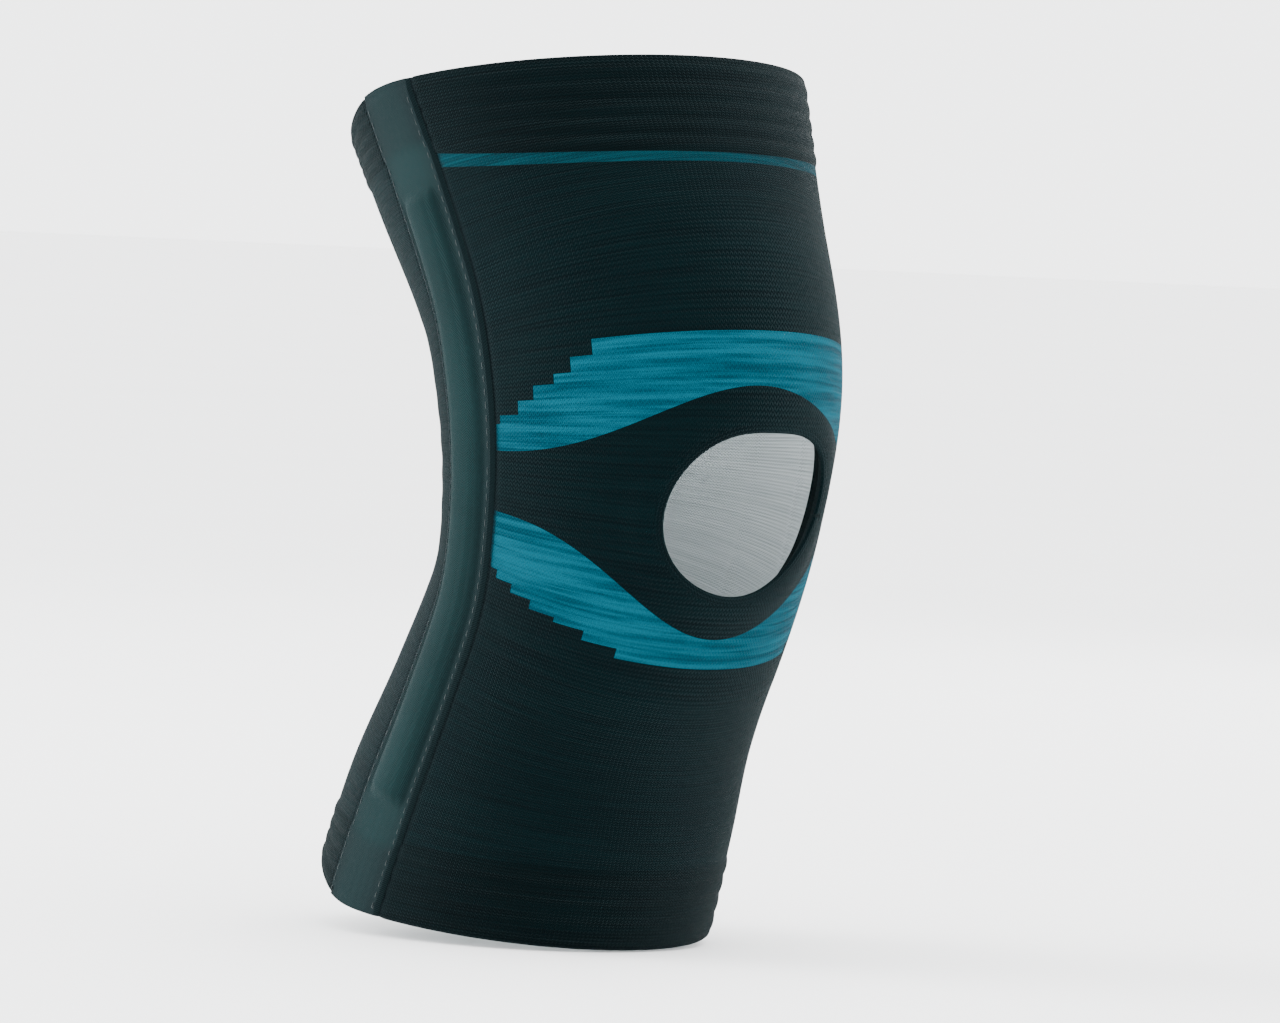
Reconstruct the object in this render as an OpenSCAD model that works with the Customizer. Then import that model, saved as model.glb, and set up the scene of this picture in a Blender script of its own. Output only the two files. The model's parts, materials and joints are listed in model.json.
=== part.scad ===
// Open-patella knitted knee support, size medium, shaped as it sits on a
// knee bent by twice limb_tilt degrees. Origin at the knee centre, behind the
// upper half of the patella opening; +Z up along the knee, -Y to the front, millimetres.
// Thigh and calf each turn about an X axis through their pivot, at z = +/- pivot_z.

/* [Knee] */
// Outer radius of the sleeve round the knee
knee_r = 61.5; // [56:0.5:66]
// Tilt of thigh and of calf to the vertical, half of the knee's flexion
limb_tilt = 24; // [20:1:25]
// Height of the thigh pivot above the knee centre, and of the calf pivot below it
pivot_z = 28; // [26:1:30]
// Distance from a pivot to where the thigh's or calf's own back panel starts
back_u = 54; // [53:0.5:56]
// Thickness of the knit
knit_t = 2.2; // [1.6:0.2:2.6]

/* [Thigh] */
// Length of the thigh part from its pivot to its rim
thigh_len = 92; // [90:1:100]
// Outer radius at the thigh rim
thigh_r = 72; // [68:0.5:76]
// Height of the ribbed thigh cuff
thigh_cuff_h = 30; // [26:1:32]
// Turn of the thigh cuff back towards level
thigh_rim_tilt = 12; // [8:1:13]

/* [Calf] */
// Length of the calf part from its pivot to its rim
calf_len = 129; // [124:1:134]
// Outer radius at the narrowest place below the knee
calf_waist_r = 58.3; // [58:0.1:60]
// Distance of that narrowest place from the calf pivot
calf_waist_u = 54; // [50:1:58]
// Outer radius at the calf rim
calf_r = 62; // [60:0.5:64]
// Height of the ribbed calf cuff
calf_cuff_h = 27; // [24:1:30]
// Turn of the calf cuff back towards level
calf_rim_tilt = 18; // [14:1:20]

/* [Patella opening] */
// Distance of the opening's centre below the knee centre
opening_drop = 15; // [12:1:17]
// Radius of the opening over the kneecap
opening_r = 27.5; // [25:0.5:29]
// Width of the turned hem round the opening
hem_w = 5; // [4:0.5:6]
// Outer radius of the silicone ring behind the hem
ring_r = 38; // [36:0.5:40]

/* [Side channels] */
// Width of the woven tape over each stay
tape_w = 24.5; // [22:0.5:26]
// Thickness of the tape
tape_t = 1.1; // [0.9:0.1:1.3]
// Width of the raised stay pocket
pocket_w = 11; // [10.5:0.5:12]
// Width of the flat spiral stay
stay_w = 7.8; // [7:0.2:8]
// Thickness of the flat spiral stay
stay_t = 2.8; // [2.4:0.2:3]
// Length of one turn of the spiral
stay_pitch = 5; // [4.5:0.5:7]

/* [Grip bands] */
// Inner radius of the silicone band inside the thigh cuff
thigh_grip_r = 67.2; // [66:0.1:67.4]
// Inner radius of the silicone band inside the calf cuff
calf_grip_r = 58.2; // [57.4:0.1:58.4]
// Height of each silicone band
grip_h = 14; // [10:1:15]

/* [Hidden] */
$fn = 96;
knit_colour = "#10292e";
cuff_colour = "#0b2024";
tape_colour = "#2c5055";
band_colour = "#0f7489";
stripe_colour = "#15525c";
thread_colour = "#5b7f84";
steel_colour = "#b4b9bc";
silicone_colour = "#8fa3a6";
label_colour = "#c9cfcf";
bend_r = pivot_z / tan(limb_tilt / 2);   // radius of the curved centre line through the knee
arc_u = pivot_z;                         // the curve ends this far beyond each pivot
thigh_cuff_u = thigh_len - thigh_cuff_h;
calf_cuff_u = calf_len - calf_cuff_h;
stripe_drop = 6;                         // lower edge of the colour stripe below the thigh cuff
stripe_h = 5;
seam = 0.2;                              // gap between neighbouring knitted pieces
inlay_t = 1.1;                           // depth of the coloured yarns in the knit
inlay_gap = 0.05;
side_gap = 0.1;                          // half the gap between front and back panels
tape_lift = 1.4;                         // tape clears the cuff ribs
rib_out = 0.6;                           // crest of the cuff ribs above the knit
rib_gap = 0.1;
rib_pitch = 6;
pocket_lift = 2.8;                       // stay's middle above the pocket's base line
pocket_t = 6.4;
bore_gap = 0.4;                          // free space round a stay in its pocket
tape_end_r = tape_w / 2;                 // round end of the knee tape about a pivot
swing_r = tape_end_r + 1;                // round cut of thigh and calf tapes about a pivot
swing_u = 9.5;                           // their edges start here, clear of the fully bent knee tape
stay_inset = swing_r + 1.4;              // first turn of a thigh or calf stay from its pivot
pocket_stop = 8;                         // the pocket ends this far short of the cuff
cap_len = 3;
stitch_len = 4;
stitch_pitch = 6;
stitch_r = 0.35;
stitch_gap = 0.15;
grip_inset = 2;                          // silicone bands end this far inside the rims
big = 400;

// Outer radius of the thigh part, u from its pivot
function thigh_t(u) = (u - arc_u) / (thigh_len - arc_u);
function thigh_rise(t) = t <= 0 ? 0 : 1.1 * t + 0.3 * t * t - 0.4 * t * t * t;
function thigh_outer(u) = knee_r + (thigh_r - knee_r) * thigh_rise(thigh_t(u));

// Outer radius of the calf part, u from its pivot
function ease(t) = (1 - cos(180 * max(0, min(1, t)))) / 2;
function calf_outer(u) = knee_r - (knee_r - calf_waist_r) * ease((u - arc_u) / (calf_waist_u - arc_u))
    + (calf_r - calf_waist_r) * ease((u - calf_waist_u) / (calf_len - calf_waist_u));

// Base line of the stay pocket: distance from the limb axis at u
thigh_rate = (thigh_outer(thigh_cuff_u) - knee_r) / (thigh_cuff_u - stay_inset);
function pocket_line(kind, u) = kind == "thigh" ? knee_r + thigh_rate * (u - stay_inset) : knee_r - 1.2;
function pocket_end(kind) = cuff_base(kind) - pocket_stop;

// A limb's length, and the start, height and turn of its cuff
function len_of(kind) = kind == "thigh" ? thigh_len : calf_len;
function cuff_base(kind) = kind == "thigh" ? thigh_cuff_u : calf_cuff_u;
function cuff_height(kind) = kind == "thigh" ? thigh_cuff_h : calf_cuff_h;
function rim_tilt(kind) = kind == "thigh" ? thigh_rim_tilt : calf_rim_tilt;

// Frames: local z runs along the limb from its pivot, local -y is its front
module thigh_frame() translate([0, 0, pivot_z]) rotate([-limb_tilt, 0, 0]) children();
module calf_frame() mirror([0, 0, 1]) thigh_frame() children();
// Inside a limb's frame: frame of its cuff, z from the cuff's edge towards the rim
module cuff_frame(kind) translate([0, 0, cuff_base(kind)]) rotate([rim_tilt(kind), 0, 0]) children();
// Everything between two heights in the cuff's frame
module rim_slab(kind, z0, z1) cuff_frame(kind) translate([-big / 2, -big / 2, z0]) cube([big, big, z1 - z0]);

// Knee bend: the 2D profile is [distance from the bend axis, x]
module bend() translate([0, bend_r, 0]) rotate([0, 90, 0]) rotate([0, 0, -90 - limb_tilt])
    rotate_extrude(angle = 2 * limb_tilt, $fn = 180) children();

// side: -1 front half, 1 back half, 0 whole round
module bend_shell(a, b, side) bend() translate([bend_r, 0]) intersection() {
    difference() {
        circle(knee_r + b);
        circle(knee_r + a);
    }
    translate([side == 1 ? -big - side_gap : side == -1 ? side_gap : -big / 2, -big / 2]) square(big);
}

// Wall between the offsets a and b of a limb's outer surface, from u0 to u1
module limb_shell(kind, a, b, side, u0, u1) {
    steps = 12;
    us = [for (i = [0:steps]) u0 + (u1 - u0) * i / steps];
    intersection() {
        rotate_extrude() polygon(concat(
            [for (i = [0:steps]) [radius_at(kind, us[i]) + a, us[i]]],
            [for (i = [steps:-1:0]) [radius_at(kind, us[i]) + b, us[i]]]));
        if (side != 0)
            translate([-big / 2, side == 1 ? side_gap : -big - side_gap, 0]) cube(big);
    }
}
function radius_at(kind, u) = kind == "thigh" ? thigh_outer(u) : calf_outer(u);
rim_reach = 24;                          // the walls rise at most this far beyond the cuff's middle

// Prism along Y through the front wall
module front_prism() translate([0, 0, -opening_drop]) rotate([90, 0, 0]) linear_extrude(big / 2) children();

// ---- support bands: outlines as [x, z] from the opening's centre, by the angle round the knee ----
function at_angle(q, z) = [knee_r * sin(q), z];
upper_edge_z = 55.5;
band_side = 80;                          // the bands reach this angle, under the tape's edge
upper_steps = 6;
upper_start = 46;
lower_edge_z = -50.5;
lower_steps = 7;
lower_start = 18;
upper_drop = (upper_edge_z - 13) / upper_steps;
lower_lift = 37 / lower_steps;
upper_stride = (band_side - upper_start) / upper_steps;
lower_stride = (band_side - lower_start) / lower_steps;
// Inner edges: a smooth arch over the opening and a V with a round tip below it
function upper_inner(q) = 9 + 28.5 * cos(1.08 * q) * cos(1.08 * q);
function lower_inner(q) = -41.5 + 0.48 * sqrt(q * q + 36);

// Half of a band's outline: steps outside, the smooth edge inside
function upper_half() = concat(
    [for (q = [0:8:band_side]) at_angle(q, upper_inner(q))],
    [for (i = [upper_steps:-1:1], j = [0, 1])
        at_angle(upper_start + upper_stride * i, upper_edge_z - upper_drop * (i - j))],
    [at_angle(upper_start, upper_edge_z), [0, upper_edge_z]]);
function lower_half() = concat(
    [for (q = [0:8:band_side]) at_angle(q, lower_inner(q))],
    [for (i = [lower_steps:-1:1], j = [0, 1])
        at_angle(lower_start + lower_stride * i, lower_edge_z + lower_lift * (i - j))],
    [at_angle(lower_start, lower_edge_z), [0, lower_edge_z]]);
// A whole outline from its half with x >= 0
function both(half) = concat(half, [for (i = [len(half) - 2:-1:1]) [-half[i].x, half[i].y]]);
module upper_outline() front_prism() polygon(both(upper_half()));
module lower_outline() front_prism() polygon(both(lower_half()));
module opening(r) translate([0, 0, -opening_drop]) rotate([90, 0, 0]) cylinder(h = big / 2, r = r);

// ---- knitted panels: the bend round the knee, and the two limbs beyond it ----
module popliteal_wall(kind)
    limb_shell(kind, -knit_t, 0, 1, arc_u + seam / 2, back_u - seam / 2);
// Wall from u0 to the cuff
module limb_wall(kind, side, u0) intersection() {
    limb_shell(kind, -knit_t, 0, side, u0 + seam / 2, cuff_base(kind) + rim_reach);
    rim_slab(kind, -big / 2, -seam / 2);
}
// Front half of the thigh's wall between the offsets a and b, as high as the colour stripe plus a gap
module stripe_arc(a, b, gap) thigh_frame() intersection() {
    limb_shell("thigh", a, b, -1, arc_u, thigh_cuff_u + rim_reach);
    rim_slab("thigh", -stripe_drop - gap, -stripe_drop + stripe_h + gap);
}
module thigh_front_panel() color(knit_colour) difference() {
    thigh_frame() limb_wall("thigh", -1, arc_u);
    stripe_arc(-inlay_t - inlay_gap, 1, inlay_gap);
}
module thigh_back_panel() color(knit_colour) thigh_frame() limb_wall("thigh", 1, back_u);
module popliteal_upper_panel() color(knit_colour) thigh_frame() popliteal_wall("thigh");
module thigh_stripe() color(stripe_colour) stripe_arc(-inlay_t, 0, 0);
module calf_front_panel() color(knit_colour) calf_frame() limb_wall("calf", -1, arc_u);
module calf_back_panel() color(knit_colour) calf_frame() limb_wall("calf", 1, back_u);
module popliteal_lower_panel() color(knit_colour) calf_frame() popliteal_wall("calf");
module knee_back_panel() color(knit_colour) bend_shell(-knit_t, 0, 1);
module knee_front_panel() color(knit_colour) difference() {
    bend_shell(-knit_t, 0, -1);
    opening(opening_r);
    intersection() {
        bend_shell(-inlay_t - inlay_gap, 1, -1);
        union() {
            upper_outline();
            lower_outline();
        }
    }
}
module support_band() color(band_colour) intersection() {
    bend_shell(-inlay_t, 0, -1);
    children();
}
module upper_support_band() support_band() upper_outline();
module lower_support_band() support_band() lower_outline();

// ---- cuffs: rib crests and grooves round the limb ----
module cuff(kind) {
    h = cuff_height(kind);
    steps = 6 * floor(h / rib_pitch);
    zs = [for (i = [0:steps]) h * i / steps];
    cuff_frame(kind) rotate_extrude() polygon(concat(
        [for (i = [0:steps]) [cuff_outer(kind, zs[i]) - knit_t, zs[i]]],
        [for (i = [steps:-1:0]) [cuff_outer(kind, zs[i]) + rib_out * abs(sin(30 * i)), zs[i]]]));
}
function cuff_outer(kind, z) = radius_at(kind, cuff_base(kind) + z);
module thigh_cuff() color(cuff_colour) thigh_frame() cuff("thigh");
module calf_cuff() color(cuff_colour) calf_frame() cuff("calf");
// Room that a cuff takes up, out to its rib crests
module cuff_room(kind) {
    h = cuff_height(kind) + 2;
    steps = 10;
    zs = [for (i = [0:steps]) h * i / steps - 1];
    cuff_frame(kind) rotate_extrude() polygon(concat([[0, h - 1], [0, -1]],
        [for (z = zs) [cuff_outer(kind, z) + rib_out + rib_gap, z]]));
}

// ---- silicone bands inside the cuffs, round inside ----
module grip_band(kind, r) {
    top = cuff_height(kind) - grip_inset;
    steps = 4;
    zs = [for (i = [0:steps]) top - grip_h + grip_h * i / steps];
    cuff_frame(kind) rotate_extrude() polygon(concat([[r, zs[0]]],
        [for (z = zs) [cuff_outer(kind, z) - knit_t - 0.15, z]], [[r, top]]));
}
module thigh_grip_band() color(silicone_colour) thigh_frame() grip_band("thigh", thigh_grip_r);
module calf_grip_band() color(silicone_colour) calf_frame() grip_band("calf", calf_grip_r);

// ---- patella opening: hem outside, silicone ring and its cover inside ----
module front_annulus(a, b, r0, r1) difference() {
    intersection() {
        bend_shell(a, b, -1);
        opening(r1);
    }
    opening(r0);
}
module patella_hem() color(knit_colour) front_annulus(0.1, 1.3, opening_r, opening_r + hem_w);
module patella_ring() color(silicone_colour)
    front_annulus(-knit_t - 2.6, -knit_t - 0.1, opening_r + 1.5, ring_r);
module patella_ring_cover() color(cuff_colour)
    front_annulus(-knit_t - 3.4, -knit_t - 2.7, opening_r, ring_r + 3);

// ---- side channels, built on the lateral side (-X) and mirrored ----
module stadium(w, t) {
    for (s = [-1, 1]) translate([0, s * (w - t) / 2]) circle(t / 2, $fn = 32);
    square([t, w - t], center = true);
}
// Stadium prism along a limb's pocket line from u0 to u1
module limb_run(kind, w, t, u0, u1) {
    rise = pocket_line(kind, u1) - pocket_line(kind, u0);
    translate([-pocket_line(kind, u0) - pocket_lift, 0, u0]) rotate([0, -atan2(rise, u1 - u0), 0])
        linear_extrude(norm([rise, u1 - u0])) stadium(w, t);
}
module tape_strip(u0, u1) translate([-big / 2, -tape_w / 2, u0]) cube([big / 2, tape_w, u1 - u0]);
// Round cutter about a pivot, on the lateral side only
module pivot_disc(r) translate([-big / 2, 0, 0]) rotate([0, 90, 0]) cylinder(h = big / 2, r = r);

// Raised pocket of a limb tape, standing on its strip
module limb_pocket(kind) difference() {
    limb_run(kind, pocket_w, pocket_t, swing_u - 3, pocket_end(kind));
    limb_shell(kind, -15, tape_lift + tape_t / 3, 0, swing_u - 5, len_of(kind));
}
module limb_tape(kind) color(tape_colour) difference() {
    intersection() {
        union() {
            limb_shell(kind, tape_lift, tape_lift + tape_t, 0, swing_u - 5, len_of(kind) + tape_w / 2);
            limb_pocket(kind);
        }
        tape_strip(swing_u, len_of(kind) + tape_w / 2);
        rim_slab(kind, -big / 2, cuff_height(kind) - seam);
    }
    pivot_disc(swing_r);
    limb_run(kind, stay_w + 2 * bore_gap, stay_t + 2 * bore_gap, swing_u - 5, pocket_end(kind) - 1);
    cuff_room(kind);
}
module lateral_tape_thigh() thigh_frame() limb_tape("thigh");
module medial_tape_thigh() mirror([1, 0, 0]) lateral_tape_thigh();
module lateral_tape_calf() calf_frame() limb_tape("calf");
module medial_tape_calf() mirror([1, 0, 0]) lateral_tape_calf();

// Outline of the knee tape from the side: a strip with a round end on each pivot
module knee_tape_outline() {
    for (s = [-1, 1]) translate([0, 0, s * pivot_z]) pivot_disc(tape_end_r);
    translate([-big / 2, -tape_end_r, -pivot_z]) cube([big / 2, tape_w, 2 * pivot_z]);
}
knee_run_x = -knee_r - tape_lift - 2.1;
knee_run_z = pivot_z + 10;
module knee_run(w, t, z) translate([knee_run_x, 0, -z]) linear_extrude(2 * z) stadium(w, t);
module lateral_tape_knee() color(tape_colour) difference() {
    intersection() {
        union() {
            bend_shell(tape_lift, tape_lift + tape_t, 0);
            knee_run(pocket_w, pocket_t, knee_run_z);
        }
        knee_tape_outline();
    }
    bend() translate([bend_r, 0]) circle(knee_r + tape_lift);
    knee_run(stay_w + 2 * bore_gap, stay_t + 2 * bore_gap, knee_run_z + 5);
}
module medial_tape_knee() mirror([1, 0, 0]) lateral_tape_knee();

// ---- spiral stays: flat coils of steel wire ----
wire = 0.7;
turn_pts = 8;
// Coil along local z from z0, in whole turns up to z1, about the line x = x0 + slope * z
module coil(z0, z1, x0, slope) {
    count = floor((z1 - z0) / stay_pitch) * turn_pts;
    half_t = (stay_t - wire) / 2;
    half_w = (stay_w - wire) / 2;
    corners = [[-1, -1], [1, -1], [1, 1], [-1, 1]];
    pts = [for (i = [0:count], c = corners)
        let (a = 360 * i / turn_pts, z = z0 + wire / 2 + stay_pitch * i / turn_pts)
        [x0 + slope * z + (half_t + c[0] * wire / 2) * cos(a), (half_w + c[0] * wire / 2) * sin(a),
            z + c[1] * wire / 2]];
    sides = [for (i = [0:count - 1], j = [0:3], half = [0, 1])
        let (a = 4 * i + j, b = 4 * i + (j + 1) % 4)
        half == 0 ? [a, b, b + 4] : [a, b + 4, a + 4]];
    ends = [[2, 1, 0], [3, 2, 0], [for (j = [0:2]) 4 * count + j], [for (j = [0, 2, 3]) 4 * count + j]];
    polyhedron(pts, concat(sides, ends), convexity = 10);
}
module limb_stay(kind) color(steel_colour) {
    u1 = pocket_end(kind) - cap_len - 2.5;
    coil(stay_inset, u1, -pocket_line(kind, 0) - pocket_lift, -(kind == "thigh" ? thigh_rate : 0));
}
module lateral_stay_thigh() thigh_frame() limb_stay("thigh");
module medial_stay_thigh() mirror([1, 0, 0]) lateral_stay_thigh();
module lateral_stay_knee() color(steel_colour)
    coil(-knee_run_z + 1, knee_run_z - 1, knee_run_x, 0);
module medial_stay_knee() mirror([1, 0, 0]) lateral_stay_knee();
module lateral_stay_calf() calf_frame() limb_stay("calf");
module medial_stay_calf() mirror([1, 0, 0]) lateral_stay_calf();

// Plastic end caps of the stays
module stay_cap(kind) color("white") {
    u = pocket_end(kind) - cap_len - 1.5;
    translate([-pocket_line(kind, u) - pocket_lift - 0.1, 0, u])
        linear_extrude(cap_len) stadium(stay_w, stay_t);
}
module lateral_stay_top_cap() thigh_frame() stay_cap("thigh");
module medial_stay_top_cap() mirror([1, 0, 0]) lateral_stay_top_cap();
module lateral_stay_bottom_cap() calf_frame() stay_cap("calf");
module medial_stay_bottom_cap() mirror([1, 0, 0]) lateral_stay_bottom_cap();

// ---- stitching along both edges of the tapes, on both sides ----
stitch_q = tape_w / 2 - 1.8;
// x of a tape's outer face at the stitch line, for a limb radius r
function stitch_x(r) = -sqrt(pow(r + tape_lift + tape_t, 2) - stitch_q * stitch_q) - stitch_r - stitch_gap;
module stitch(x0, x1, q, z) translate([x0, q, z]) rotate([0, atan2(x1 - x0, stitch_len), 0])
    cylinder(h = stitch_len, r = stitch_r, $fn = 16);
module four_edges()
    for (m = [0, 1], n = [0, 1]) mirror([m, 0, 0]) mirror([0, n, 0]) children();
module limb_stitches(kind) four_edges()
    for (u = [arc_u + 2:stitch_pitch:len_of(kind) - stitch_len - 5])
        stitch(stitch_x(radius_at(kind, u)), stitch_x(radius_at(kind, u + stitch_len)), stitch_q, u);
module thigh_stitching() color(thread_colour) thigh_frame() limb_stitches("thigh");
module calf_stitching() color(thread_colour) calf_frame() limb_stitches("calf");
module knee_stitching() color(thread_colour) four_edges()
    for (z = [-pivot_z + 1:stitch_pitch:pivot_z - stitch_len])
        stitch(stitch_x(knee_r) - 1, stitch_x(knee_r) - 1, stitch_q, z);

// Blank care label, sewn inside the back of the calf, above the cuff
module care_label() color(label_colour) calf_frame() intersection() {
    limb_shell("calf", -knit_t - 0.6, -knit_t - 0.15, 1, calf_cuff_u - 12, calf_cuff_u + 10);
    translate([-16, 0, 0]) cube([32, big / 2, big / 2]);
}

thigh_front_panel();
thigh_back_panel();
thigh_cuff();
thigh_stripe();
thigh_grip_band();
lateral_tape_thigh();
medial_tape_thigh();
lateral_stay_thigh();
medial_stay_thigh();
lateral_stay_top_cap();
medial_stay_top_cap();
thigh_stitching();
knee_front_panel();
upper_support_band();
lower_support_band();
knee_back_panel();
popliteal_upper_panel();
popliteal_lower_panel();
patella_hem();
patella_ring();
patella_ring_cover();
lateral_tape_knee();
medial_tape_knee();
lateral_stay_knee();
medial_stay_knee();
knee_stitching();
calf_front_panel();
calf_back_panel();
calf_cuff();
calf_grip_band();
lateral_tape_calf();
medial_tape_calf();
lateral_stay_calf();
medial_stay_calf();
lateral_stay_bottom_cap();
medial_stay_bottom_cap();
calf_stitching();
care_label();
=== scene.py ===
"""Looks of a knitted open-patella knee support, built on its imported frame.

The support is one curved skin. A point on it is (theta, s, lift): the angle round the
leg from the front, the arc length along the leg's centre line from the knee centre,
and the height over the skin, in degrees and millimetres. skin() turns that into metres
in the row frame, and every piece is laid out on it.
"""
import json
import math

import bmesh
import bpy
import numpy as np
from mathutils import Matrix, Vector


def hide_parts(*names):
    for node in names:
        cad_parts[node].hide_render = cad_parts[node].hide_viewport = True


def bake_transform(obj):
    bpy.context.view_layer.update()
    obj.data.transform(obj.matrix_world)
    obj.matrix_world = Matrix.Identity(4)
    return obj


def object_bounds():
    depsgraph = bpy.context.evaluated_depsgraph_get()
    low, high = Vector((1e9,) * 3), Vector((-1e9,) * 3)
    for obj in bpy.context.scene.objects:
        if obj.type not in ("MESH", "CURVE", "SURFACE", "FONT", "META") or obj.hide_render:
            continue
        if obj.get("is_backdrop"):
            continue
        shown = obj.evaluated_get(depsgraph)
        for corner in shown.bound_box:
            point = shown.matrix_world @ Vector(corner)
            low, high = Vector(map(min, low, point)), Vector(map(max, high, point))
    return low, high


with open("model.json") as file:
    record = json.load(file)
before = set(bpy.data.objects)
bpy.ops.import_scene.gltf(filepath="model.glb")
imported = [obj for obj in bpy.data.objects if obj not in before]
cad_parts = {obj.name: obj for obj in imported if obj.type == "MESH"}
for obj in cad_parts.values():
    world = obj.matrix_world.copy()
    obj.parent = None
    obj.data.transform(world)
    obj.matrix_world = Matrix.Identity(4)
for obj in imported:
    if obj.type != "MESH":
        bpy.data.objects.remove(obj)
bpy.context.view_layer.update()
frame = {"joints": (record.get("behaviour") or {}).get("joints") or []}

MM = 0.001

# ---- the skin ------------------------------------------------------------------
PIVOT_Z = frame["joints"][0]["pos_m"][2] / MM    # height of the thigh's hinge
LIMB_TILT = math.radians(24)                     # thigh and calf lean back by this
THIGH_LEN = 92                                   # from a hinge to the rim
CALF_LEN = 129
BEND_R = PIVOT_Z / math.tan(LIMB_TILT / 2)       # the centre line's radius at the knee
BEND_S = BEND_R * LIMB_TILT                      # it is straight beyond this
TOP_S = BEND_S - PIVOT_Z + THIGH_LEN
LOW_S = -(BEND_S - PIVOT_Z + CALF_LEN)
TOP_SKEW = -72 * math.tan(math.radians(12))      # brings the rims back towards level
LOW_SKEW = 62 * math.tan(math.radians(18))
SKEW_START = 0.35                                # share of a limb's length that is not skewed

# Outline of the leg in the support: s, half width, depth to the front and to the back
OUTLINE = np.array([
    (LOW_S, 61, 63, 66), (-118, 60, 57.5, 66.5), (-84, 58.2, 53, 59), (-50, 57.7, 55, 53.5),
    (-15, 60.5, 60.5, 55.5), (20, 63.4, 69, 57.5), (55, 65.5, 67.5, 59.5), (90, 69, 67, 71),
    (TOP_S, 73, 66, 77)])

KNIT_T = 2.2                                     # thickness of the knit
COLUMNS = 288                                    # knitted wales round the leg
WALES = (np.arange(COLUMNS) + 0.5) * 360 / COLUMNS - 180
COURSE = 1.1                                     # height of a knitted course
CUFF_FRONT_S, CUFF_SIDE_S = 79, 96.5             # where the thigh cuff starts
CALF_CUFF_FRONT_S, CALF_CUFF_SIDE_S = -127, -131
ROW = 1.2                                        # height of a mesh row along the leg
TAPE_THETA = 92.2                                # middle of a side tape
TAPE_HALF = 12.6                                 # half of its width
OPENING_THETA = 2.5                              # middle of the patella opening
OPENING_S = -10.4
OPENING_R = 62                                   # radius of the leg round the opening
FRONT_STRETCH = 1.46                             # length along the front for a length of s
HEM_W = 5.2                                      # width of the turned hem
BAND_END = 81                                    # angle from the bands' middle to their ends


def smooth(t):
    t = np.clip(t, 0, 1)
    return t * t * (3 - 2 * t)


def spline(x, xs, ys):
    """Cubic Hermite curve through the points."""
    slopes = np.gradient(ys, xs)
    i = np.clip(np.searchsorted(xs, x) - 1, 0, len(xs) - 2)
    h = xs[i + 1] - xs[i]
    t = (x - xs[i]) / h
    start = (1 + 2 * t) * (1 - t) ** 2 * ys[i] + t * (1 - t) ** 2 * h * slopes[i]
    end = t * t * (3 - 2 * t) * ys[i + 1] + t * t * (t - 1) * h * slopes[i + 1]
    return start + end


def half_width(s):
    """Half of the leg's width at s."""
    return spline(np.asarray(s, float), OUTLINE[:, 0], OUTLINE[:, 1])


def skin(theta, s, lift):
    """Points on the skin, in metres: one row of x, y, z for each theta, s and lift."""
    theta, s, lift = np.broadcast_arrays(np.radians(np.asarray(theta, float)), np.asarray(s, float), lift)
    front = np.cos(theta)
    limb = np.where(s > 0, TOP_S, -LOW_S)
    share = smooth((np.abs(s) / limb - SKEW_START) / (1 - SKEW_START))
    along = s + share * np.where(s > 0, TOP_SKEW, LOW_SKEW) * front
    inside = np.clip(along, -BEND_S, BEND_S)
    tilt = inside / BEND_R
    beyond = along - inside
    w, to_front, to_back = (spline(s, OUTLINE[:, 0], OUTLINE[:, i]) + lift for i in (1, 2, 3))
    depth = -np.where(front > 0, to_front, to_back) * front
    x = w * np.sin(theta)
    y = BEND_R * (1 - np.cos(tilt)) + beyond * np.sin(tilt) + depth * np.cos(tilt)
    z = BEND_R * np.sin(tilt) + beyond * np.cos(tilt) - depth * np.sin(tilt)
    return np.stack([x, y, z], -1) * MM


def rim_line(theta, front_s, side_s):
    """A course of knitting near a rim: front_s at the front, side_s from the sides round the back."""
    front = np.maximum(np.cos(np.radians(theta)), 0)
    return side_s + (front_s - side_s) * front


def cuff_base(theta):
    return rim_line(theta, CUFF_FRONT_S, CUFF_SIDE_S)


def calf_cuff_base(theta):
    return rim_line(theta, CALF_CUFF_FRONT_S, CALF_CUFF_SIDE_S)


def behind(theta):
    """0 from the front to the middle of the tapes, 1 behind the leg."""
    return smooth((np.abs(theta) - 92) / 40)


def thigh_rim(theta):
    """s of the thigh rim, which dips behind the leg."""
    return TOP_S - 7 * behind(theta)


def calf_rim(theta):
    """s of the calf rim, which rises behind the leg."""
    return LOW_S + 8 * behind(theta)


def opening_radius(phi):
    """From the opening's middle to its edge at the angle phi: a wide oval, fullest up and medially."""
    oval = 29.0 + 3.2 * np.cos(2 * phi) + 1.5 * np.sin(2 * phi) + 0.8 * np.sin(phi)
    return oval + 0.4 * np.cos(phi) + 0.4 * np.cos(3 * phi) + 1.1 * np.sin(3 * phi) + 0.5 * np.sin(4 * phi)


def opening_distance(theta, s):
    """How far outside the opening's edge a point is, in millimetres along the skin."""
    a = np.radians(theta - OPENING_THETA) * OPENING_R
    b = (s - OPENING_S) * FRONT_STRETCH
    edge = opening_radius(np.arctan2(b, a))
    return np.where(np.abs(theta) < 90, np.hypot(a, b) - edge, 200.0)


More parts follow.
